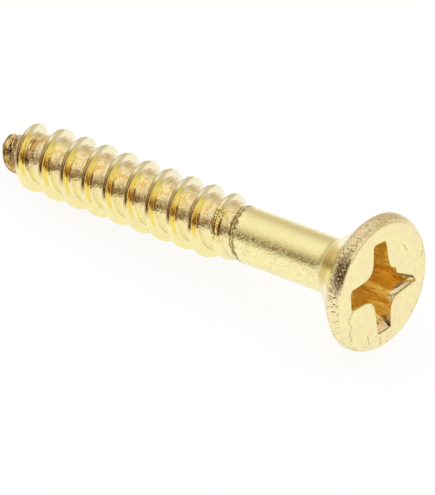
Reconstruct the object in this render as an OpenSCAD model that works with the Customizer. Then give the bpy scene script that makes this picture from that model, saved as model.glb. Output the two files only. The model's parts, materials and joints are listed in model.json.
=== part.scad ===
/* [Screw] */
// Overall length, head face to point
length = 38.1; // [34:0.1:45]
// Outside diameter of the thread
thread_d = 5.54; // [5.2:0.01:5.8]
// Diameter of the plain shank
shank_d = 4.39; // [4.2:0.01:4.7]

/* [Head] */
// Widest diameter of the head
head_d = 11.04; // [10.6:0.01:11.6]
// Diameter of the flat face
face_d = 9.94; // [9.4:0.01:10.2]
// Depth of the rounded rim, from the face to the widest ring
rim_depth = 1.03; // [0.6:0.01:1.2]
// Included angle of the countersunk cone
cone_angle = 86; // [78:1:90]
// Radius that breaks the edge at the widest ring
edge_r = 0.16; // [0.08:0.01:0.25]
// Radius of the fillet where the cone meets the shank
neck_r = 0.9; // [0.4:0.1:1.5]

/* [Cross recess] */
// Width across two opposite wings at the face
wing_span = 7.7; // [6.8:0.1:8]
// Width across two opposite wings at their floor
wing_floor_span = 3.8; // [3.4:0.1:4.2]
// Width of a wing at the face
wing_w = 1.55; // [1.3:0.05:1.8]
// Width of a wing at its deepest point
wing_floor_w = 1.05; // [0.8:0.05:1.2]
// Slope of the wing ends against the screw's axis
wing_slope = 26.5; // [25:0.5:30]
// Width of the tapered middle, across the corners that it takes off, at the face
core_w = 3.6; // [3:0.05:4]
// Width of the tapered middle at the wing floor
core_floor_w = 2.2; // [1.9:0.05:2.6]
// Turn of the cross about the axis, from upright
wing_turn = 4; // [0:1:89]

/* [Thread] */
// Distance between two turns
pitch = 2.16; // [2:0.01:2.4]
// Diameter at the bottom of the thread
root_d = 4.12; // [3.8:0.01:4.3]
// Width of the thread's ridge at its foot
ridge_w = 0.97; // [0.7:0.01:1.3]
// Width of the flat on top of the ridge
crest_w = 0.14; // [0.08:0.01:0.3]
// Distance from the face at which the groove starts
groove_from = 13.63; // [12:0.01:18]
// Turn about the axis at which the groove starts
start_turn = -51.3; // [-180:0.1:180]
// Length of the gimlet point
point_len = 4.8; // [3.5:0.1:6]
// Diameter of the blunt end
point_d = 1.32; // [0.8:0.02:1.6]
// Rounding of the blunt end
point_round = 0.35; // [0.2:0.05:0.6]
// Stretch of the last turns, which the point draws out
last_turn_shift = 0.5; // [0:0.05:0.8]

/* [Hidden] */
$fn = 64;

// Head outline, as [radius, distance from the face]
head_r = head_d / 2;
face_r = face_d / 2;
shank_r = shank_d / 2;
half_cone = cone_angle / 2;
rim_r = (pow(rim_depth, 2) + pow(head_r - face_r, 2)) / (2 * (head_r - face_r));
edge_centre = [head_r - edge_r, rim_depth];
cone_start = edge_centre + edge_r * [cos(half_cone), sin(half_cone)];
cone_end_r = shank_r + neck_r * (1 - cos(half_cone));
cone_end = cone_start[1] + (cone_start[0] - cone_end_r) / tan(half_cone);
neck_centre = [shank_r + neck_r, cone_end + neck_r * sin(half_cone)];

// Recess: wings that end in a blunt cone, round a tapered middle
past = 1; // how far the cutters stand out of the face
wing_depth = (wing_span - wing_floor_span) / 2 / tan(wing_slope);
recess_depth = wing_depth + wing_floor_span / 2 * tan(20);

// Thread: one closed surface on a helical grid, square at both ends
facets = 40; // steps round one turn
thread_r = thread_d / 2;
root_r = root_d / 2;
end_r = point_d / 2;
end_share = 0.55; // radius of the flat at the very end, against the rounding's
joint_r = shank_r * (1 / cos(180 / facets) + 0.001);
sweep_from = groove_from - 1.1;
ridge_at = 0.73; // middle of the ridge, in pitches past the groove's edge
foot = ridge_w / 2 / pitch;
flat = crest_w / 2 / pitch;
rows = [0, 0.07, each [for (side = [-foot, -(foot + flat) / 2, -flat, flat, (foot + flat) / 2, foot]) ridge_at + side]];
first_lap = -2;
last_row = len(rows) * (ceil((length - groove_from) / pitch) + 3);
snap = pitch / 40; // grid points nearer than this to an end lie on its ring

// Turns in degrees over which the groove and the ridge come up to their full height
groove_lead = 149;
groove_rise = 69;
ridge_lead = 235;
ridge_rise = 409;
last_turns = [32, 4.5]; // where the point starts to draw the turns out, and over what length

// Lying pose: at rest on the widest ring and on the thread
down_turn = wrapped(180 - start_turn);
crests_below = [for (lap = [1:20]) let (s = drawn(groove_from + pitch * (lap + ridge_at + down_turn / 360)))
                if (s < length - 1) [s, crest_r(s, down_turn + 360 * lap)]];
rest_tilt = min([for (crest = crests_below) atan((head_r - crest[1]) / (crest[0] - rim_depth))]);
rest_height = (head_r - edge_r) * cos(rest_tilt) + rim_depth * sin(rest_tilt) + edge_r;
front = face_r * sin(rest_tilt);
back = length * cos(rest_tilt) + end_share * end_r * sin(rest_tilt);

function arc(centre, r, from, to, steps) =
    [for (i = [0:steps]) let (a = from + (to - from) * i / steps) centre + r * [cos(a), sin(a)]];

// Smooth step from 0 to 1
function ramp(x) = let (t = max(0, min(1, x))) t * t * (3 - 2 * t);

function rise(from, to, share) = from + (to - from) * share;
function wrapped(a) = ((a + 180) % 360 + 360) % 360 - 180;

// Radii of root and crest at distance s from the face, after so many degrees of thread
function taper(s, full, power) = rise(full, end_r, pow(max(0, (s - length + point_len) / point_len), power));
function valley_r(s, helix) =
    rise(joint_r, taper(s, root_r, 1.5), ramp((helix + groove_lead) / groove_rise));
function crest_r(s, helix) =
    rise(joint_r, taper(s, thread_r, 2.5), ramp((helix + ridge_lead) / ridge_rise));
function blunting(s) =
    let (t = max(0, min(1, (s - length + point_round) / point_round))) rise(end_share, 1, sqrt(1 - t * t));
function drawn(s) = s + last_turn_shift * ramp((s - last_turns[0]) / last_turns[1]);

// Ridge: steep flanks with a narrow crest, between wide flat roots
function ridge(phase) = ramp((foot - abs(phase - ridge_at)) / (foot - flat));
function thread_radius(s, helix, phase) =
    let (root = rise(valley_r(s, helix - 360), valley_r(s, helix), ramp(phase / rows[1])))
    blunting(s) * rise(root, max(root, crest_r(s, helix)), ridge(phase));

// Helical grid: facet i goes round, row k goes along
function turn(i) = 360 * i / facets - 180;
function lap(k) = first_lap + floor(k / len(rows));
function along(i, k) = drawn(groove_from + pitch * (lap(k) + rows[k % len(rows)] + turn(i) / 360));
function on_circle(i, r, s) = let (a = start_turn + turn(i)) [r * cos(a), r * sin(a), s];
function grid_point(i, k) =
    let (s = along(i, k)) on_circle(i, thread_radius(s, turn(i) + 360 * lap(k), rows[k % len(rows)]), s);
function ring(r, s) = [for (i = [0:facets - 1]) on_circle(i, r, s)];

// Index of a grid point, where the points past an end fall on that end's ring
grid_start = 2 * facets + 2;
function index(i, k) =
    i == facets ? index(0, k + len(rows)) :
    along(i, k) < sweep_from + snap ? i :
    along(i, k) > length - snap ? facets + i :
    grid_start + k * facets + i;
function real_faces(faces) =
    [for (f = faces) if (f[0] != f[1] && f[1] != f[2] && f[2] != f[0]) f];

module thread() {
    points = concat(
        ring(joint_r, sweep_from), ring(end_share * end_r, length), [[0, 0, sweep_from], [0, 0, length]],
        [for (k = [0:last_row]) for (i = [0:facets - 1]) grid_point(i, k)]);
    sides = [for (k = [0:last_row - 1]) for (i = [0:facets - 1])
        let (a = index(i, k), b = index(i + 1, k), c = index(i + 1, k + 1), d = index(i, k + 1))
        each [[a, c, b], [a, d, c]]];
    caps = [for (i = [0:facets - 1]) let (j = (i + 1) % facets)
        each [[2 * facets, i, j], [2 * facets + 1, facets + j, facets + i]]];
    polyhedron(points, real_faces(concat(sides, caps)), convexity = 12);
}

module head_and_shank() {
    rotate_extrude()
        polygon(concat(
            [[0, 0]],
            arc([head_r - rim_r, rim_depth], rim_r, -asin(rim_depth / rim_r), 0, 8),
            arc(edge_centre, edge_r, half_cone / 3, half_cone, 2),
            arc(neck_centre, neck_r, 180 + half_cone, 180, 5),
            [[shank_r, sweep_from + 0.3], [0, sweep_from + 0.3]]));
}

module wing() {
    tall = recess_depth + past;
    spread = past * tan(wing_slope);
    flare = past * (wing_w - wing_floor_w) / recess_depth;
    intersection() {
        rotate([90, 0, 0]) linear_extrude(wing_w * 2, center = true)
            polygon([[-wing_span / 2 - spread, -past], [wing_span / 2 + spread, -past],
                     [wing_floor_span / 2, wing_depth], [0, recess_depth],
                     [-wing_floor_span / 2, wing_depth]]);
        rotate([90, 0, 90]) linear_extrude(wing_span * 2, center = true)
            polygon([[-(wing_w + flare) / 2, -past], [(wing_w + flare) / 2, -past],
                     [wing_floor_w / 2, recess_depth], [-wing_floor_w / 2, recess_depth]]);
    }
}

// Wedge whose width goes from the face's to the floor's
module taper_slab(w, floor_w) {
    flare = past * (w - floor_w) / wing_depth;
    rotate([90, 0, 0]) linear_extrude(w * 2, center = true)
        polygon([[-(w + flare) / 2, -past], [(w + flare) / 2, -past],
                 [floor_w / 2, wing_depth], [-floor_w / 2, wing_depth]]);
}

module cross_recess() {
    rotate([0, 0, wing_turn]) {
        wing();
        rotate([0, 0, 90]) wing();
        intersection() {
            rotate([0, 0, 45]) taper_slab(core_w, core_floor_w);
            rotate([0, 0, 135]) taper_slab(core_w, core_floor_w);
        }
    }
}

// Axis down the screw, then laid on its side with the point towards -X
module wood_screw() {
    color([0.88, 0.77, 0.45])
        translate([(back - front) / 2, 0, rest_height])
            rotate([0, -90 - rest_tilt, 0]) {
                difference() {
                    head_and_shank();
                    cross_recess();
                }
                thread();
            }
}

wood_screw();
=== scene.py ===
import json
import math

import bmesh
import bpy
from mathutils import Matrix, Vector, noise


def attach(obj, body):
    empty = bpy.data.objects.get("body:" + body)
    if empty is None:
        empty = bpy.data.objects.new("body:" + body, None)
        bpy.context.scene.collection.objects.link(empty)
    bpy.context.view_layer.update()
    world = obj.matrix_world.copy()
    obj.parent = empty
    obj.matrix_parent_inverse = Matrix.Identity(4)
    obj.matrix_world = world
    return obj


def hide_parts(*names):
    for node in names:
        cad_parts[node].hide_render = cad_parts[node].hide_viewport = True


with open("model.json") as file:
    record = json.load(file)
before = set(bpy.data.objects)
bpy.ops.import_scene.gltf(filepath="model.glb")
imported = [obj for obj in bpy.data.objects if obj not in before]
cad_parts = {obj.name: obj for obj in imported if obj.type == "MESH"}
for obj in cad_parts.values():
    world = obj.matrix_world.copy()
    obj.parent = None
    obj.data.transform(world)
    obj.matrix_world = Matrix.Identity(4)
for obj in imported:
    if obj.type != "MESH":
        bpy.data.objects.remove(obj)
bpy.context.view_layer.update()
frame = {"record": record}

mm = 0.001
tiny = 1e-4  # mm, what counts as the same place
slack = 0.01  # mm, leaves room for rounding
mounts = {mount["name"]: mount for mount in frame["record"]["mounts"]}

# The screw in its own frame, in mm: z runs down the axis from the face to the point,
# and x points up as the screw lies
screw = dict(
    length=38.1,
    thread=5.54 / 2,
    shank=4.39 / 2,
    head=11.04 / 2,
    face=9.94 / 2,
    rimDepth=1.03,
    halfCone=math.radians(43),
    edgeRound=0.16,
    neckRound=0.9,
    pitch=2.16,
    root=4.12 / 2,
    ridgeWidth=0.97,
    crestWidth=0.14,
    ridgeAt=0.73,  # middle of the ridge, in pitches past the groove's edge
    headFlank=0.85,  # how far each flank swells, from an even S to a rounded shoulder
    pointFlank=0.3,
    footSoft=0.45,  # share of the flank that eases out of the root
    grooveFrom=13.63,
    grooveEdge=0.07,
    startTurn=math.radians(-51.3),
    # How far ahead of its start, and over how much turn, the groove and the ridge come up
    grooveLead=math.radians(149),
    grooveRise=math.radians(69),
    ridgeLead=math.radians(235),
    ridgeRise=math.radians(409),
    threadFrom=12.53,
    pointLength=4.8,
    rootTaper=1.5,  # the higher, the later it tapers
    crestTaper=2.5,
    end=0.66,
    endRound=0.35,
    endShare=0.55,
    lastTurnShift=0.5,  # the point draws the last turns out by so much
    lastTurns=(32, 4.5),
    facets=160,
    threadStep=0.075,
    lineSteps=dict(rim=14, edge=4, cone=12, neck=8, shank=22),
)

# Wear that is modelled, in mm and radians. A fade holds where it starts and over what
# distance it comes up, and over a negative one it runs backwards
wear = dict(
    rimEnd=1.4,
    rimFades=((0.08, 0.2), (1.35, -0.3)),
    rimGrain=3.1,
    rimPit=0.022,
    pitLift=0.1,  # raises a noise, so that more of it counts
    patchTurn=-0.95,
    patchDepth=0.36,
    patchSpread=(4.6, 2.2),
    patchReach=1.5,
    patchPit=0.12,
    burrAhead=0.1,
    burrHalf=0.07,
    burrTurn=5.9,
    burrSpread=0.8,
    burrReach=1.3,
    burrGrain=3.4,
    burrHeight=0.13,
    burrLift=0.15,
    crestGrain=1.5,
    crestOffset=Vector((7, 0, 0)),  # another part of the noise
    crestNick=0.05,
    tipFade=(36.3, 1.2),
    tipNick=0.3,
    foldGrain=(0.9, 1.9),  # across the tip, and along it
    foldLift=0.15,
    skirtFade=(0.34, -0.1),  # the root on the head's side, in pitches from the ridge's middle
    skirtFrom=0.02,
)


def smooth(x):
    x = max(0.0, min(1.0, x))
    return x * x * (3 - 2 * x)


def fade(x, start, over):
    return smooth((x - start) / over)


def mix(a, b, share):
    return a + (b - a) * share


def arcPoints(centre, radius, start, stop, steps):
    turns = [mix(start, stop, i / steps) for i in range(steps + 1)]
    return [(centre[0] + radius * math.cos(a), centre[1] + radius * math.sin(a)) for a in turns]


def screwPlace():
    recessMount = mounts["cross_recess"]
    down = -Vector(recessMount["axis"])
    up = Vector((down.z, 0, -down.x)).normalized()
    side = down.cross(up)
    turn = Matrix((up, side, down)).transposed().to_4x4()
    return Matrix.Translation(recessMount["pos_m"]) @ turn @ Matrix.Scale(mm, 4)


def taper(s, full, power):
    share = max(0.0, (s - screw["length"] + screw["pointLength"]) / screw["pointLength"])
    return mix(full, screw["end"], share ** power)


def threadSpot(s, turn):
    # Place along the thread: turns since the groove's start, and phase within the pitch
    drift = screw["lastTurnShift"] * fade(s, *screw["lastTurns"])
    turn = (turn - screw["startTurn"] + math.pi) % math.tau - math.pi
    along = (s - drift - screw["grooveFrom"]) / screw["pitch"] - turn / math.tau
    lap = math.floor(along)
    return turn + math.tau * lap, along - lap


def ridgeHeight(phase):
    # Narrow crest between wide flat roots, with a rounded flank on the side of the head
    foot, crest = (screw[width] / 2 / screw["pitch"] for width in ("ridgeWidth", "crestWidth"))
    off = abs(phase - screw["ridgeAt"])
    share = max(0.0, min(1.0, (foot - off) / (foot - crest)))
    soft = screw["footSoft"]
    eased = share ** 2 / (2 * soft) if share < soft else share - soft / 2
    rounded = math.sin(eased / (1 - soft / 2) * math.pi / 2)
    flank = screw["headFlank"] if phase < screw["ridgeAt"] else screw["pointFlank"]
    return mix(smooth(share), rounded, flank)


def ridgeGrowth(helix):
    return smooth((helix + screw["ridgeLead"]) / screw["ridgeRise"])


def grooveGrowth(helix):
    return smooth((helix + screw["grooveLead"]) / screw["grooveRise"])


def threadRadius(s, helix, phase):
    # The groove starts on a helical line, deepens over part of a turn, then the ridge rises
    shank = screw["shank"]
    last = max(0.0, (s - screw["length"] + screw["endRound"]) / screw["endRound"])
    blunt = mix(screw["endShare"], 1.0, math.sqrt(max(0.0, 1 - last ** 2)))
    root = taper(s, screw["root"], screw["rootTaper"])
    before, here = (mix(shank, root, grooveGrowth(h)) for h in (helix - math.tau, helix))
    base = mix(before, here, smooth(phase / screw["grooveEdge"]))
    crest = mix(shank, taper(s, screw["thread"], screw["crestTaper"]), ridgeGrowth(helix))
    return blunt * mix(base, max(base, crest), ridgeHeight(phase))


def headAndShankLine():
    # Outline from the edge of the face to the end of the point, as radius and distance
    head, face, depth = screw["head"], screw["face"], screw["rimDepth"]
    half, edge, neck = screw["halfCone"], screw["edgeRound"], screw["neckRound"]
    steps = screw["lineSteps"]
    rim = (depth ** 2 + (head - face) ** 2) / (2 * (head - face))
    line = arcPoints((head - rim, depth), rim, -math.asin(depth / rim), 0, steps["rim"])
    line += arcPoints((head - edge, depth), edge, 0, half, steps["edge"])[1:]
    last = line[-1]
    coneEnd = screw["shank"] + neck * (1 - math.cos(half))
    coneFoot = last[1] + (last[0] - coneEnd) / math.tan(half)
    for i in range(1, steps["cone"]):
        share = i / steps["cone"]
        line.append((mix(last[0], coneEnd, share), mix(last[1], coneFoot, share)))
    neckCentre = (screw["shank"] + neck, coneFoot + neck * math.sin(half))
    line += arcPoints(neckCentre, neck, math.pi + half, math.pi, steps["neck"])
    start = screw["threadFrom"]
    for i in range(1, steps["shank"]):
        line.append((screw["shank"], mix(neckCentre[1], start, i / steps["shank"])))
    # The thread's own radii are set later, so any will do here
    rows = round((screw["length"] - start) / screw["threadStep"])
    line += [(1, mix(start, screw["length"], i / rows)) for i in range(rows + 1)]
    return line + [(0, screw["length"])]


# The recess's outline, corner by corner round the cross: at the face, on the shelf that
# the driver left just under it, and at the floor. Each corner bends over so many points
# with so much trimmed off its sides, and a straight run of points follows it
recess = dict(
    fillet=0.12,
    filletRings=4,
    wallRings=14,
    wallCrowding=1.4,
    faceRings=10,
    floorRings=3,
    depth=3.94,
    floorSlope=math.tan(math.radians(20)),
    bends=[(6, 2), (6, 6), (13, 4),
           (3, 1), (4, 5), (5, 5), (14, 6),
           (6, 2), (6, 6), (14, 6),
           (6, 2), (6, 6), (14, 6)],
    trims=[0.28, 0.3, 1.1,
           0.28, 0.12, 0.12, 1.1,
           0.28, 0.28, 1.15,
           0.28, 0.28, 1.15],
    mostTrim=0.6,  # of a side
    face=[(3.83, -0.79), (3.64, 0.64), (1.08, 0.82),
          (0.84, 1.6), (0.36, 1.56), (-1.3, 3.74), (-1.46, 0.72),
          (-3.9, 0.46), (-3.88, -0.98), (-0.6, -1.22),
          (-0.4, -3.84), (1.27, -3.78), (1.29, -1.08)],
    shelf=[(3.74, -0.75), (3.55, 0.6), (1.04, 0.8),
           (0.86, 1.58), (0.4, 1.56), (-1.12, 3.52), (-1.24, 0.82),
           (-3.78, 0.44), (-3.76, -0.94), (-0.6, -1.12),
           (-0.42, -3.72), (1.22, -3.66), (1.24, -1.05)],
    shelfAt=0.06,
    floorReach=1.9,
    floorHalf=0.5,
    floorCorner=0.62,
    floorTurn=math.radians(4),
    floorTrim=(0.55, 0.6),  # the most of a trim, and the share of it that the floor takes
    flapCorner=(3, 0.4),  # the worn wing's extra corner, and its place on the floor's side
)


def regularCross(reach, half, corner, turn):
    points = []
    for quarter in range(4):
        spin = Matrix.Rotation(turn + quarter * math.pi / 2, 2)
        points += [spin @ Vector(p) for p in ((reach, -half), (reach, half), (corner, corner))]
    return points


def towards(start, stop, trim):
    side = stop - start
    return start + side.normalized() * min(trim, recess["mostTrim"] * side.length)


def roundedOutline(corners, trims, counts):
    # Each corner becomes a smooth bend between two points on its sides
    outline = []
    total = len(corners)
    for i in range(total):
        before, here, after = corners[i - 1], corners[i], corners[(i + 1) % total]
        bend, run = counts[i]
        a = towards(here, before, trims[i])
        b = towards(here, after, trims[i])
        c = towards(after, here, trims[(i + 1) % total])
        for k in range(bend):
            t = k / (bend - 1)
            outline.append(a * (1 - t) ** 2 + here * 2 * t * (1 - t) + b * t ** 2)
        for k in range(1, run + 1):
            outline.append(b.lerp(c, k / (run + 1)))
    return outline


def growOutward(outline, amount):
    grown = []
    total = len(outline)
    for i in range(total):
        along = outline[(i + 1) % total] - outline[i - 1]
        normal = Vector((along.y, -along.x)).normalized()
        grown.append(outline[i] + normal * amount)
    return grown


def raised(points, z):
    return [Vector((p.x, p.y, z)) for p in points]


def pushLoop(bm, loop, places, depth=0.0):
    # Extrudes a closed ring of vertices and moves each new one to its place
    edges = [bm.edges.get(pair) for pair in zip(loop, loop[1:] + loop[:1])]
    made = bmesh.ops.extrude_edge_only(bm, edges=edges)["geom"]
    ring = set(loop)
    partner = {}
    for v in made:
        if isinstance(v, bmesh.types.BMVert):
            for e in v.link_edges:
                if e.other_vert(v) in ring:
                    partner[e.other_vert(v)] = v
    new = [partner[v] for v in loop]
    inside = bm.verts.layers.float["inside"]
    for v, place in zip(new, places):
        v.co = place
        v[inside] = depth
    return new


def recessOutlines():
    # Face, shelf and floor outlines, point for point
    bends, trims = recess["bends"], recess["trims"]
    floorCorners = regularCross(recess["floorReach"], recess["floorHalf"],
                                recess["floorCorner"], recess["floorTurn"])
    at, share = recess["flapCorner"]
    floorCorners.insert(at, floorCorners[at - 1].lerp(floorCorners[at], share))
    most, shrink = recess["floorTrim"]
    floorTrims = [min(trim, most) * shrink for trim in trims]
    top, shelf = ([Vector(p) for p in recess[level]] for level in ("face", "shelf"))
    outlines = [roundedOutline(top, trims, bends), roundedOutline(shelf, trims, bends),
                roundedOutline(floorCorners, floorTrims, bends)]
    # They start beside the face ring's first point, so all go round together
    top = outlines[0]
    shift = min(range(len(top)), key=lambda i: abs(math.atan2(top[i].y, top[i].x)))
    return [outline[shift:] + outline[:shift] for outline in outlines]


def addRecess(bm, loop):
    top, shelf, floor = recessOutlines()
    fillet, radius = recess["fillet"], screw["face"]
    lip = growOutward(top, fillet)
    turns = [math.atan2(v.co.y, v.co.x) % math.tau for v in loop]
    ring = [Vector((radius * math.cos(a), radius * math.sin(a))) for a in turns]
    for k in range(1, recess["faceRings"] + 1):
        share = k / recess["faceRings"]
        loop = pushLoop(bm, loop, raised([a.lerp(b, share) for a, b in zip(ring, lip)], 0))
    for k in range(1, recess["filletRings"] + 1):
        a = k / recess["filletRings"] * math.pi / 2
        deep = fillet * (1 - math.cos(a))
        edge = growOutward(top, fillet * (1 - math.sin(a)))
        loop = pushLoop(bm, loop, raised(edge, deep), deep)
    for k in range(1, recess["wallRings"] + 1):
        share = (k / recess["wallRings"]) ** recess["wallCrowding"]
        places = []
        for atFace, atShelf, atFloor in zip(top, shelf, floor):
            p = atFace.lerp(atShelf, smooth(share / recess["shelfAt"])).lerp(atFloor, share)
            full = recess["depth"] + (recess["floorReach"] - atFloor.length) * recess["floorSlope"]
            places.append(Vector((p.x, p.y, mix(fillet, full, share))))
        loop = pushLoop(bm, loop, places, mix(fillet, recess["depth"], share))
    bottom = Vector((0, 0, recess["depth"] + recess["floorReach"] * recess["floorSlope"]))
    for k in range(recess["floorRings"], 0, -1):
        loop = pushLoop(bm, loop, [v.co.lerp(bottom, 1 / (k + 1)) for v in loop], recess["depth"])
    last = pushLoop(bm, loop, [v.co for v in loop], recess["depth"])
    bmesh.ops.pointmerge(bm, verts=last, merge_co=bottom)


def wornHead(spot, radius):
    # Pits all round the rim, deeper in one rough patch
    s = spot.z
    if s >= wear["rimEnd"]:
        return radius
    band = math.prod(fade(s, *limits) for limits in wear["rimFades"])
    turn = math.atan2(spot.y, spot.x)
    across, down = wear["patchSpread"]
    off = math.hypot((turn - wear["patchTurn"]) * across, (s - wear["patchDepth"]) * down)
    patch = smooth(wear["patchReach"] - off)
    pit = max(0.0, noise.noise(spot * wear["rimGrain"]) + wear["pitLift"])
    return radius - band * pit * (wear["rimPit"] + patch * wear["patchPit"])


def wornThread(spot, radius, helix, phase):
    # A rough burr where the groove starts, nicked crests and a torn, folded tip
    off = abs((phase + wear["burrAhead"] + 0.5) % 1.0 - 0.5)
    near = wear["burrReach"] - abs(helix - wear["burrTurn"]) * wear["burrSpread"]
    burr = smooth(1 - off / wear["burrHalf"]) * smooth(near)
    radius += burr * wear["burrHeight"] * (noise.noise(spot * wear["burrGrain"]) + wear["burrLift"])
    crest = ridgeHeight(phase) ** 4 * ridgeGrowth(helix)
    nick = noise.noise(spot * wear["crestGrain"] + wear["crestOffset"])
    radius -= crest * wear["crestNick"] * max(0.0, nick)
    turn = math.atan2(spot.y, spot.x)
    across, along = wear["foldGrain"]
    unrolled = spot.z - turn * screw["pitch"] / math.tau
    fold = noise.noise(Vector((spot.x * across, spot.y * across, unrolled * along)))
    torn = fade(spot.z, *wear["tipFade"]) * wear["tipNick"]
    return radius - torn * max(0.0, fold + wear["foldLift"]) * min(1.0, radius)


def spinBlank(bm):
    line = [bm.verts.new((r, 0, s)) for r, s in headAndShankLine()]
    edges = [bm.edges.new(pair) for pair in zip(line, line[1:])]
    bmesh.ops.spin(bm, geom=line + edges, cent=(0, 0, 0), axis=(0, 0, 1), angle=math.tau,
                   steps=screw["facets"], use_merge=True, use_duplicate=False)
    bmesh.ops.remove_doubles(bm, verts=bm.verts, dist=tiny)


def rollAndWear(bm):
    # Sets every vertex's radius, and notes how high the ridge stands there and whether it
    # is on the root beside it
    ridge, skirt = (bm.verts.layers.float[name] for name in ("ridge", "skirt"))
    start = screw["threadFrom"] - slack
    for v in bm.verts:
        flat = math.hypot(v.co.x, v.co.y)
        if flat < slack:
            continue
        if v.co.z > start:
            helix, phase = threadSpot(v.co.z, math.atan2(v.co.y, v.co.x))
            v[ridge] = ridgeHeight(phase) * ridgeGrowth(helix)
            ahead = screw["ridgeAt"] - phase
            if ahead > wear["skirtFrom"]:
                v[skirt] = fade(ahead, *wear["skirtFade"]) * ridgeGrowth(helix)
            radius = threadRadius(v.co.z, helix, phase)
            spot = Vector((v.co.x * radius / flat, v.co.y * radius / flat, v.co.z))
            radius = wornThread(spot, radius, helix, phase)
        else:
            radius = wornHead(v.co, flat)
        v.co.x *= radius / flat
        v.co.y *= radius / flat


def putInOrder(bm):
    # The operators don't number the parts of a mesh alike from run to run
    def corners(part):
        return sorted(v.index for v in part.verts)

    orders = ((bm.verts, lambda v: tuple(v.co)), (bm.edges, corners), (bm.faces, corners))
    for parts, order in orders:
        ranks = {part: rank for rank, part in enumerate(sorted(parts, key=order))}
        parts.sort(key=ranks.get)
        parts.index_update()


def buildScrew():
    bm = bmesh.new()
    for name in ("ridge", "inside", "skirt"):
        bm.verts.layers.float.new(name)
    spinBlank(bm)
    rollAndWear(bm)
    faceLoop = [v for v in bm.verts if v.co.z < tiny]
    faceLoop.sort(key=lambda v: math.atan2(v.co.y, v.co.x) % math.tau)
    addRecess(bm, faceLoop)
    bmesh.ops.transform(bm, matrix=screwPlace(), verts=bm.verts)
    bmesh.ops.recalc_face_normals(bm, faces=bm.faces)
    putInOrder(bm)
    mesh = bpy.data.meshes.new("brass_screw")
    bm.to_mesh(mesh)
    bm.free()
    mesh.shade_smooth()
    piece = bpy.data.objects.new("brass_screw", mesh)
    bpy.context.collection.objects.link(piece)
    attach(piece, "root")
    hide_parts("wood_screw")
    return piece


screwPiece = buildScrew()
print("screw:", len(screwPiece.data.polygons), "faces")


class Socket:
    # Wraps a node's output, so that sums on values read as Python
    def __init__(self, sheet, link):
        self.sheet = sheet
        self.link = link

    def math(self, kind, *others):
        return self.sheet.node("ShaderNodeMath", dict(operation=kind), self, *others)

    def __add__(self, other):
        return self.math("ADD", other)

    def __sub__(self, other):
        return self.math("SUBTRACT", other)

    def __rsub__(self, other):
        return self.sheet.node("ShaderNodeMath", dict(operation="SUBTRACT"), other, self)

    def __mul__(self, other):
        return self.math("MULTIPLY", other)

    def __truediv__(self, other):
        return self.math("DIVIDE", other)

    __radd__ = __add__
    __rmul__ = __mul__


class Sheet:
    # The nodes of a material or a world
    def __init__(self, owner):
        owner.use_nodes = True
        self.tree = owner.node_tree
        self.tree.nodes.clear()

    def finish(self, shader, kind="ShaderNodeOutputMaterial"):
        self.node(kind, {}, shader, out=None)

    def axes(self, vector):
        return [self.node("ShaderNodeSeparateXYZ", {}, vector, out=axis) for axis in "XYZ"]

    def joined(self, x, y, z):
        return self.node("ShaderNodeCombineXYZ", {}, x, y, z)

    def noise(self, vector, scale, detail, rough):
        return self.node("ShaderNodeTexNoise", {}, vector, Scale=scale, Detail=detail,
                         Roughness=rough)

    def step(self, value, low, high):
        # Smooth step from 0 at low to 1 at high, which may be the lesser of the two
        return self.node("ShaderNodeMapRange", dict(interpolation_type="SMOOTHSTEP"), value,
                         low, high, 0.0, 1.0)

    def mixColour(self, share, a, b):
        # The five sockets after the factor are for other kinds of value
        return self.node("ShaderNodeMix", dict(data_type="RGBA"), share, *[None] * 5, a, b, out=2)

    def vector(self, kind, *values, out="Vector", **named):
        return self.node("ShaderNodeVectorMath", dict(operation=kind), *values, out=out, **named)

    def nearLine(self, spot, points, wide, core=0.35):
        # 1 on a line through the points, falling to 0 at its side
        reach = None
        for a, b in zip(points, points[1:]):
            along = Vector((b[0] - a[0], b[1] - a[1], 0))
            fromStart = self.vector("SUBTRACT", spot, (*a, 0))
            unit = tuple(along / along.length_squared)
            share = self.vector("DOT_PRODUCT", fromStart, unit, out="Value")
            share = share.math("MAXIMUM", 0.0).math("MINIMUM", 1.0)
            foot = self.vector("SCALE", tuple(along), Scale=share)
            gap = self.vector("DISTANCE", fromStart, foot, out="Value")
            reach = gap if reach is None else reach.math("MINIMUM", gap)
        return self.step(reach, wide, wide * core)

    def nearLines(self, spot, lines, wide):
        nearest = self.nearLine(spot, lines[0], wide)
        for points in lines[1:]:
            nearest = nearest.math("MAXIMUM", self.nearLine(spot, points, wide))
        return nearest

    def node(self, kind, settings=None, *values, out=0, **named):
        # Settings go first, since some of them change the sockets
        made = self.tree.nodes.new(kind)
        for key, value in (settings or {}).items():
            if key == "ramp":
                stops = made.color_ramp.elements
                while len(stops) > 1:
                    stops.remove(stops[-1])
                for i, (at, colour) in enumerate(value):
                    stop = stops[0] if i == 0 else stops.new(at)
                    stop.position = at
                    stop.color = colour
            else:
                setattr(made, key, value)
        for key, value in [*enumerate(values), *named.items()]:
            if value is None:
                continue
            target = made.inputs[key if isinstance(key, int) else key.replace("_", " ")]
            if isinstance(value, Socket):
                self.tree.links.new(value.link, target)
            else:
                target.default_value = value
        return None if out is None else Socket(self, made.outputs[out])


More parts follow.
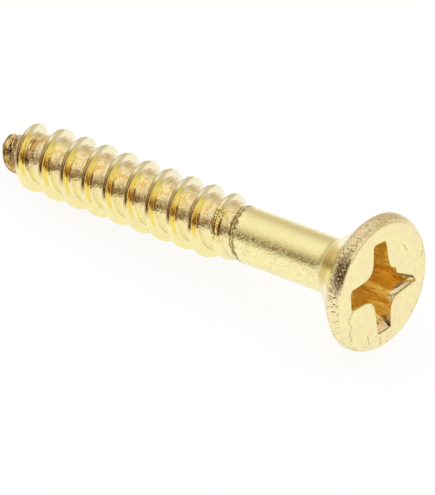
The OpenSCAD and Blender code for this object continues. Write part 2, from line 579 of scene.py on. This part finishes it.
finish = dict(
    pale=(0.98, 0.89, 0.45, 1),
    cream=(0.95, 0.83, 0.47, 1),
    reflectedGold=(1.0, 0.85, 0.3, 1),
    pink=(0.98, 0.8, 0.55, 1),
    amber=(1.0, 0.87, 0.47, 1),
    blush=(0.95, 0.8, 0.48, 1),
    orange=(0.85, 0.5, 0.16, 1),
    honey=(1.0, 0.73, 0.32, 1),
    greyReflection=(0.9, 0.84, 0.6, 1),
    rustAndShade=(0.34, 0.2, 0.05, 1),
    brown=(0.55, 0.38, 0.16, 1),
    copper=(0.92, 0.68, 0.38, 1),
    umber=(0.2, 0.12, 0.04, 1),
    shadeAndPits=(0.1, 0.06, 0.025, 1),
)
# Colour bands across the torn, folded tip, and among them a painted highlight in cream
tipBandsAndHighlight = [
    (0.34, finish["umber"]), (0.42, finish["orange"]), (0.47, finish["copper"]),
    (0.51, finish["cream"]), (0.55, finish["orange"]), (0.61, finish["umber"]),
]

meanNoise = 0.5
# Each noise of the brass: features per mm, detail and roughness
grains = dict(
    grain=(3.4, 4, 0.6),
    speckle=(4.6, 2, 0.6),
    dents=(2.7, 1, 0.5),
    dimples=(5.2, 1, 0.5),
    flecks=(6.5, 1, 0.5),
    mottle=(1.3, 3, 0.55),
    patches=(0.55, 2, 0.5),
    pits=(2.6, 2, 0.55),
    curls=(1.7, 1, 0.5),
    hatch=(6.5, 3, 0.6),  # round the shank
    scuffs=(16.9, 2, 0.6),  # the same
    rolled=(1.4, 3, 0.6),  # round the thread
    folds=(1.3, 2, 0.5),  # the same
    drawn=(2.3, 2, 0.5),  # down the recess
    scores=(1.6, 2, 0.6),  # across the face
)

# Where each zone starts and is full, in mm from the face or by depth inside the recess
zones = dict(
    face=(0.16, 0.04),
    faceLip=(0.2, 0.04),
    rimTop=(0.05, 0.25),
    rimFoot=(1.7, 1.1),
    rimLip=(0.02, 0.0),
    recess=(0.1, 0.32),
    neckTop=(2.2, 3.0),
    neckFoot=(5.1, 4.1),
    shank=(3.6, 5.0),
    thread=(12.9, 14.2),
    firstTurn=(16.2, 15.6),
    lastRoot=(33.3, 34.4),
    tipEnd=(35.5, 35.9),
    tip=(36.7, 37.6),
)

# How deep the small marks go, in mm, and how much of the dents and dimples shows
bump = dict(
    dents=0.12,
    dimples=0.08,
    everywhere=0.05,  # the share of both that shows, and what each zone adds to it
    rim=1.05,
    root=0.24,
    face=0.2,
    tip=0.2,
    lastRoot=0.3,
    patch=2.0,
    burr=2.5,
    scores=0.05,
    hatch=(0.014, 0.026),
    scuffs=0.015,
    shankDimples=0.008,
    rolled=0.05,
    folds=0.3,
    drawn=0.2,
    cracks=0.05,
    curls=0.04,
)

# Roughness of the bright brass, and what each zone adds to it
roughness = dict(bright=0.15, recess=0.08, neck=0.14, rim=0.08, face=0.12, hatch=0.06)

# Marks in the surface. The lines run through points up and across the face
marks = dict(
    hatchLean=0.38,
    hatchStretch=0.3,
    hatchWrap=2.2,
    dieWrap=0.5,
    dieLines=6,
    dieFolds=2.0,
    drawnStretch=(1, 1, 0.1),
    scoreTurn=(0, 0, 0.6),
    scoreStretch=(0.7, 5, 1),
    curlFade=(0.022, 0.008),
    curlsOnFace=0.22,
    patchSpread=(4.2, 2.3),  # over the turn and the depth
    patchGrain=1.2,
    patchFade=(2.1, 1.1),
    grooveAhead=0.2,
    grooveWander=0.5,
    grooveFade=(0.13, 0.04),
    burrBehind=0.12,
    burrFade=(0.36, 0.16),
    crackWide=0.07,
    shadowWide=0.15,
    wobble=0.16,
    wobbleGrain=4.0,
    shadows=[[(-1.5, 0.6), (-1.12, 0.9)],
             [(-3.8, 0.42), (-2.9, 0.4)],
             [(0.15, 1.72), (-0.46, 2.72), (-0.93, 3.43)]],
    cracks=[[(0.3, 1.46), (-0.95, 3.52)],
            [(-1.47, 0.88), (-1.41, 2.39), (-1.36, 3.72)],
            [(-0.45, -3.76), (-0.96, -4.35), (-1.73, -4.06), (-2.23, -4.29), (-2.86, -4.11)],
            [(-3.36, -2.24), (-4.1, -2.18)],
            [(-4.23, -0.87), (-4.77, -0.86)],
            [(-4.52, 0.06), (-4.83, -0.21)],
            [(1.71, 2.91), (2.31, 2.6)],
            [(0.82, 4.7), (0.36, 4.54)]],
)


def screwSpot(sheet):
    # The place in the screw's own frame, in mm: x up, z down the axis from the face
    place, turned, _ = screwPlace().decompose()
    return sheet.node("ShaderNodeMapping", dict(vector_type="TEXTURE"),
                      sheet.node("ShaderNodeTexCoord", out="Object"),
                      tuple(place), tuple(turned.to_euler()), (mm, mm, mm))


def crookedFace(sheet, spot):
    # The place on the face, shifted a little by a noise so that lines on it wander
    shift = sheet.node("ShaderNodeTexNoise", {}, spot, Scale=marks["wobbleGrain"], Detail=3.0,
                       out="Color")
    crooked = sheet.vector("ADD", spot, sheet.vector("SCALE", shift, Scale=marks["wobble"]))
    middle = marks["wobble"] * meanNoise
    crooked = sheet.vector("SUBTRACT", crooked, (middle, middle, 0.0))
    return sheet.vector("MULTIPLY", crooked, (1, 1, 0))


def brassMaterial():
    material = bpy.data.materials.new("worn_brass_painted_shade")
    sheet = Sheet(material)
    step = sheet.step

    def drawGrain(name, vector):
        return sheet.noise(vector, *grains[name])

    spot = screwSpot(sheet)
    x, y, z = sheet.axes(spot)
    turn = y.math("ARCTAN2", x)
    lean = y / (x * x + y * y).math("POWER", 0.5)
    ridge, inside, skirt = (sheet.node("ShaderNodeAttribute", dict(attribute_name=name), out="Fac")
                            for name in ("ridge", "inside", "skirt"))
    grain, speckle, dents, dimples, flecks, mottle, patches = (
        drawGrain(name, spot)
        for name in ("grain", "speckle", "dents", "dimples", "flecks", "mottle", "patches"))

    # Zones down the screw
    onFace = step(z, *zones["face"]) * step(inside, *zones["faceLip"])
    onRim = step(z, *zones["rimTop"]) * step(z, *zones["rimFoot"]) * step(inside, *zones["rimLip"])
    inRecess = step(inside, *zones["recess"])
    onNeck = step(z, *zones["neckTop"]) * step(z, *zones["neckFoot"])
    onThread = step(z, *zones["thread"])
    onShank = step(z, *zones["shank"]) * (1 - onThread)
    atTip = step(z + mottle * 1.6, *zones["tip"])
    # The underside is left plain and pale, and painted shade as well as marks of age go only on the
    # rest
    under = step(y.math("ABSOLUTE") * 0.6 - x, 0.6, 1.6)
    offUnderside = 1 - under

    # Marks of the rolling dies follow the thread round, and tool marks run down the recess
    helixRise = turn * (screw["pitch"] / math.tau)
    unrolled = z - helixRise
    up, across = x * marks["dieWrap"], y * marks["dieWrap"]
    rolled = drawGrain("rolled", sheet.joined(up, across, unrolled * marks["dieLines"]))
    folds = drawGrain("folds", sheet.joined(up, across, unrolled * marks["dieFolds"]))
    stretched = sheet.node("ShaderNodeMapping", {}, spot, Scale=marks["drawnStretch"])
    drawn = drawGrain("drawn", stretched)

    # Parts of the thread. On one side the flanks carry a painted gold reflection and a painted dark
    # band, and the crests painted shade;
    # the far side's upper flanks carry a painted grey reflection, and the first turn is rougher
    sideways = step(lean, -0.2, -0.5)
    offRidge = step(ridge, 0.3, 0.05)
    offCrest = step(ridge, 0.96, 0.8)
    root = onThread * offRidge
    rootOffUnderside = root * offUnderside
    lastRoot = rootOffUnderside * step(z, *zones["lastRoot"]) * sideways
    foot = step(ridge, 0.01, 0.05) * step(ridge, 0.2, 0.08) * onThread * offUnderside
    flank = step(ridge, 0.01, 0.06) * offCrest * onThread
    # Painted grey reflection on the upper flanks of the far side
    topFlankReflection = onThread * step(ridge, 0.01, 0.1) * (1 - sideways) * step(x, 0.0, 1.0)
    # Painted shade along the crests on one side
    crest = step(ridge, 0.72, 0.9) * step(lean, -0.25, -0.5) * offUnderside
    # Painted dark reflection in a band across the flanks on one side
    paintedDarkBand = flank * step(lean, -0.66, -0.8) * step(lean, -0.95, -0.88) * offUnderside
    firstTurn = step(unrolled, *zones["firstTurn"]) * flank * offUnderside
    stains = rootOffUnderside * step(lean, 0.0, -0.2) * step(lean, -0.75, -0.5)
    # Painted gold reflection on the head-side flanks and the root beside them, on one side only
    bright = skirt * step(lean, -0.1, -0.35) * offCrest * (1 - under * 0.8)
    bright = bright * (1 - offRidge * step(lean + mottle * 0.2, -0.55, -0.7))
    tipEnd = step(x, 0.6, 0.1) * step(z, *zones["tipEnd"]) * step(folds + grain * 0.3, 0.76, 0.6)
    pits = step(drawGrain("pits", spot), 0.5, 0.36)

    # Hatch of short scratches that lean across the shank
    twist = turn + z * marks["hatchLean"]
    wrap = marks["hatchWrap"]
    around = sheet.joined(twist.math("COSINE") * wrap, twist.math("SINE") * wrap,
                          z * marks["hatchStretch"])
    strokes = drawGrain("hatch", around) * onShank
    scuffs = onShank * step(drawGrain("scuffs", around), 0.53, 0.66)
    scuffs = scuffs * step(dents + mottle * 0.5, 0.62, 0.85) * step(lean, -0.6, -0.85)

    # Cracks and shadows on the face, and scores across it
    flat = crookedFace(sheet, spot)
    cracks = sheet.nearLines(flat, marks["cracks"], marks["crackWide"])
    cracks = cracks * step(z, 0.9, 0.3) * step(grain + speckle, 0.75, 1.05)
    shade = sheet.nearLines(flat, marks["shadows"], marks["shadowWide"]) * step(z, 0.9, 0.4)
    scored = sheet.node("ShaderNodeMapping", {}, spot, Rotation=marks["scoreTurn"],
                        Scale=marks["scoreStretch"])
    scores = drawGrain("scores", scored)
    # Fine curling scores along the lines where a soft noise crosses its middle
    curls = step((drawGrain("curls", spot) - meanNoise).math("ABSOLUTE"), *marks["curlFade"])
    curls = curls * (onRim + onFace * marks["curlsOnFace"]) * step(x - y * 0.3, 1.0, -1.5)
    curls = curls * step(speckle, 0.42, 0.55)

    # The rim's rough patch, and the rough line where the groove starts
    overTurn, overDepth = marks["patchSpread"]
    offTurn = ((turn - wear["patchTurn"]) * overTurn).math("POWER", 2.0)
    offDepth = ((z - wear["patchDepth"]) * overDepth).math("POWER", 2.0)
    off = (offTurn + offDepth).math("SQRT") + grain * marks["patchGrain"]
    patch = step(off, *marks["patchFade"]) * onRim
    start = screw["grooveFrom"] - screw["startTurn"] * screw["pitch"] / math.tau
    wander = marks["grooveWander"]
    offLine = unrolled - (start - marks["grooveAhead"]) + dents * wander - wander * meanNoise
    onUpper = step(x, -1.9, -0.6)
    groove = step(offLine.math("ABSOLUTE"), *marks["grooveFade"]) * onUpper
    groove = groove * step(grain, 0.38, 0.5)
    offBurr = (offLine - marks["burrBehind"]).math("ABSOLUTE")
    burr = step(offBurr, *marks["burrFade"]) * onUpper

    # A painted shade line across the low wing's end wall, and the tops of the recess's walls that
    # the driver burnished
    endWallShade = step(x, -3.0, -3.2) * step((inside - 0.85).math("ABSOLUTE"), 0.12, 0.05)
    lowWing = step(inside, 0.8, 0.55) * step(x, -2.6, -3.1)
    flap = step(inside, 0.42, 0.34) * step(y, 0.6, 1.2) * step(x, 0.7, 0.3)
    burnished = lowWing + flap

    # Coats of colour in their order: how much of each, and its tone
    spotted = step(flecks, 0.46, 0.56)
    tones = dict(finish, torn=sheet.node("ShaderNodeValToRGB", dict(ramp=tipBandsAndHighlight), folds))
    coats = [
        (onFace * step(patches + grain * 0.5, 0.68, 0.95), "blush"),
        # Painted grey reflection on the upper flanks
        (topFlankReflection * 0.8, "greyReflection"),
        (rootOffUnderside * step(rolled + mottle, 0.8, 1.3), "pink"),
        # Painted gold reflection
        (bright, "reflectedGold"),
        (foot * step(grain, 0.4, 0.55) * 0.5, "orange"),
        # Painted dark reflection across the flanks
        (paintedDarkBand * 0.6, "orange"),
        (onRim * step(patches + grain * 0.4, 0.55, 0.8) * 0.5, "pink"),
        (onRim * step(x, 2.5, 5.0) * 0.35, "brown"),
        (onRim * step(flecks, 0.57, 0.66) * step(x, -2.0, 0.5) * 0.6, "brown"),
        (inRecess, "amber"),
        (inRecess * step(drawn, 0.48, 0.57) * 0.85, "honey"),
        (inRecess * step(drawn, 0.43, 0.37) * 0.3, "brown"),
        (inRecess * burnished, "pink"),
        # The tip's colour bands, with a painted highlight
        (atTip, "torn"),
        (lastRoot * 0.7, "copper"),
        (lastRoot * step(folds + flecks * 0.5, 0.7, 0.8) * 0.8, "umber"),
        (tipEnd * 0.55, "rustAndShade"),
        (stains * step(rolled * 0.5 + dents, 0.72, 0.84) * 0.7, "orange"),
        (scuffs * 0.07, "brown"),
        (cracks * 0.55, "brown"),
        # Painted shade on the crests
        (crest * 0.8, "rustAndShade"),
        (rootOffUnderside * sideways * pits * 0.3, "brown"),
        (firstTurn * sideways * spotted * 0.9, "rustAndShade"),
        (curls * 0.55, "rustAndShade"),
        # Painted shadow lines on the face and a painted shade line on the end wall
        ((shade + endWallShade * inRecess * 0.4).math("MINIMUM", 1.0) * 0.85, "shadeAndPits"),
        (patch * 0.97, "umber"),
        (patch * step(speckle, 0.5, 0.44) * 0.8, "shadeAndPits"),
        # Painted glints as cream flecks in the rough patch
        (patch * step(flecks, 0.57, 0.64) * 0.9, "cream"),
        (burr * spotted * 0.9, "rustAndShade"),
        (groove * (0.85 - step(x, -0.4, 1.6) * 0.5), "umber"),
        # Painted shade on one side of the neck, under the head
        (onNeck * step(lean, -0.4, -0.8) * offUnderside * 0.45, "brown"),
    ]
    creamy = step(mottle, 0.35, 0.7) * (1 - onShank * 0.7)
    colour = sheet.mixColour(creamy, finish["pale"], finish["cream"])
    for share, tone in coats:
        colour = sheet.mixColour(share, colour, tones[tone])

    uneven = (onRim * bump["rim"] + rootOffUnderside * bump["root"] + onFace * bump["face"]
              + atTip * bump["tip"] + lastRoot * bump["lastRoot"] + patch * bump["patch"]
              + burr * bump["burr"] + bump["everywhere"])
    plain, sideDepth = bump["hatch"]
    height = ((dents * bump["dents"] + dimples * bump["dimples"]) * uneven
              + scores * onFace * bump["scores"]
              + strokes * (plain + step(lean, -0.6, -0.8) * sideDepth)
              - scuffs * bump["scuffs"]
              + dimples * onShank * bump["shankDimples"]
              + rolled * root * bump["rolled"]
              + folds * (atTip + lastRoot) * bump["folds"]
              + (drawn - meanNoise) * inRecess * (1 - burnished) * bump["drawn"]
              - cracks * bump["cracks"]
              - curls * bump["curls"])
    normal = sheet.node("ShaderNodeBump", {}, 1.0, mm, Height=height, out="Normal")
    rough = (roughness["bright"] + inRecess * roughness["recess"] + onNeck * roughness["neck"]
             + onRim * roughness["rim"] + onFace * roughness["face"] + strokes * roughness["hatch"])
    shader = sheet.node("ShaderNodeBsdfPrincipled", {}, Base_Color=colour, Metallic=1.0,
                        Roughness=rough, Normal=normal)
    sheet.finish(shader)
    return material


brass = brassMaterial()
screwPiece.data.materials.append(brass)
print("brass:", len(brass.node_tree.nodes), "nodes")

studio = dict(
    floorSize=0.9,
    floorDrop=0.00002,
    floorMatt=(0.2, 0.2, 0.2, 1),
    floorGlow=0.86,
    white=(1, 1, 1, 1),
    black=(0, 0, 0, 1),
    aim=(0.008012, -0.00687, 0.007969),
    azimuth=39.95,
    elevation=33.84,
    distance=0.95,
    reach=5,
    lens=908,
    # Light against height of direction, from 0 at the horizon to 1 overhead
    frontBands=[(0.0, (0.92, 0.88, 0.82)), (0.08, (0.5, 0.4, 0.28)), (0.19, (0.1, 0.065, 0.025)),
                (0.28, (0.1, 0.065, 0.025)), (0.41, (0.5, 0.41, 0.3)), (0.6, (0.74, 0.66, 0.58)),
                (0.74, (1.0, 0.99, 0.97)), (1.0, (1.08, 1.08, 1.08))],
    backBands=[(0.0, (0.76, 0.66, 0.57)), (0.45, (0.64, 0.57, 0.49)), (0.62, (0.76, 0.71, 0.64)),
               (0.8, (1.0, 1.0, 0.98)), (1.0, (1.06, 1.06, 1.06))],
    backFrom=(-0.45, 0.1),
    gloom=(0.17, 0.11, 0.05, 1),
    gloomReach=(30, 18),  # degrees from the direction of the camera
    dim=0.2,  # over the head's side
    dimHeight=(0.5, 0.8),
    dimAcross=(0.0, 0.45),
    sideLight=(1.25, 1.2, 1.12, 1),
    sideFrom=(0.8, 0.95),
    glossyBounces=10,
)


def cameraSide():
    az, el = math.radians(studio["azimuth"]), math.radians(studio["elevation"])
    return Vector((math.sin(az) * math.cos(el), -math.cos(az) * math.cos(el), math.sin(el)))


def rayKinds(sheet, *kinds):
    return [sheet.node("ShaderNodeLightPath", out=f"Is {kind} Ray") for kind in kinds]


def makeFloor():
    bm = bmesh.new()
    bmesh.ops.create_grid(bm, x_segments=1, y_segments=1, size=studio["floorSize"])
    mesh = bpy.data.meshes.new("floor")
    bm.to_mesh(mesh)
    bm.free()
    floor = bpy.data.objects.new("floor", mesh)
    bpy.context.collection.objects.link(floor)
    floor.location.z = -studio["floorDrop"]
    material = bpy.data.materials.new("white_floor")
    sheet = Sheet(material)
    # Most of the white shows only to the camera and in the metal, the rest takes the shadow
    camera, glossy, through = rayKinds(sheet, "Camera", "Glossy", "Transmission")
    seen = camera + glossy + through
    matt = sheet.node("ShaderNodeBsdfDiffuse", {}, studio["floorMatt"])
    glow = sheet.node("ShaderNodeEmission", {}, studio["white"], seen * studio["floorGlow"])
    sheet.finish(sheet.node("ShaderNodeAddShader", {}, matt, glow))
    mesh.materials.append(material)


def bandedSky(sheet, bands, height):
    ramp = [(at, (*level, 1)) for at, level in bands]
    return sheet.node("ShaderNodeValToRGB", dict(ramp=ramp), height)


def makeWorld():
    world = bpy.data.worlds.new("studio")
    bpy.context.scene.world = world
    sheet = Sheet(world)
    ray = sheet.node("ShaderNodeTexCoord", out="Generated")
    x, y, height = sheet.axes(ray)
    front = bandedSky(sheet, studio["frontBands"], height)
    back = bandedSky(sheet, studio["backBands"], height)
    room = sheet.mixColour(sheet.step(y, *studio["backFrom"]), front, back)
    # Gloom round the camera, and a weaker light over the head's side
    toCamera = sheet.vector("DOT_PRODUCT", ray, cameraSide(), out="Value")
    far, near = (math.cos(math.radians(a)) for a in studio["gloomReach"])
    room = sheet.mixColour(sheet.step(toCamera, far, near), room, studio["gloom"])
    dim = sheet.step(height, *studio["dimHeight"]) * sheet.step(x, *studio["dimAcross"])
    room = sheet.mixColour(dim * studio["dim"], room, studio["black"])
    room = sheet.mixColour(sheet.step(x, *studio["sideFrom"]), room, studio["sideLight"])
    camera, through = rayKinds(sheet, "Camera", "Transmission")
    colour = sheet.mixColour(camera + through, room, studio["white"])
    glow = sheet.node("ShaderNodeBackground", {}, colour, 1.0)
    sheet.finish(glow, "ShaderNodeOutputWorld")


def makeCamera():
    data = bpy.data.cameras.new("camera")
    camera = bpy.data.objects.new("camera", data)
    bpy.context.collection.objects.link(camera)
    back = cameraSide()
    camera.location = Vector(studio["aim"]) + back * studio["distance"]
    camera.rotation_euler = (-back).to_track_quat("-Z", "Y").to_euler()
    data.lens = studio["lens"]
    data.clip_end = studio["reach"]
    bpy.context.scene.camera = camera


makeFloor()
makeWorld()
makeCamera()
print("studio: floor, world and camera")
bpy.context.scene.view_settings.view_transform = "Standard"
# Light turns many times in the recess before it comes out
bpy.context.scene.cycles.glossy_bounces = studio["glossyBounces"]
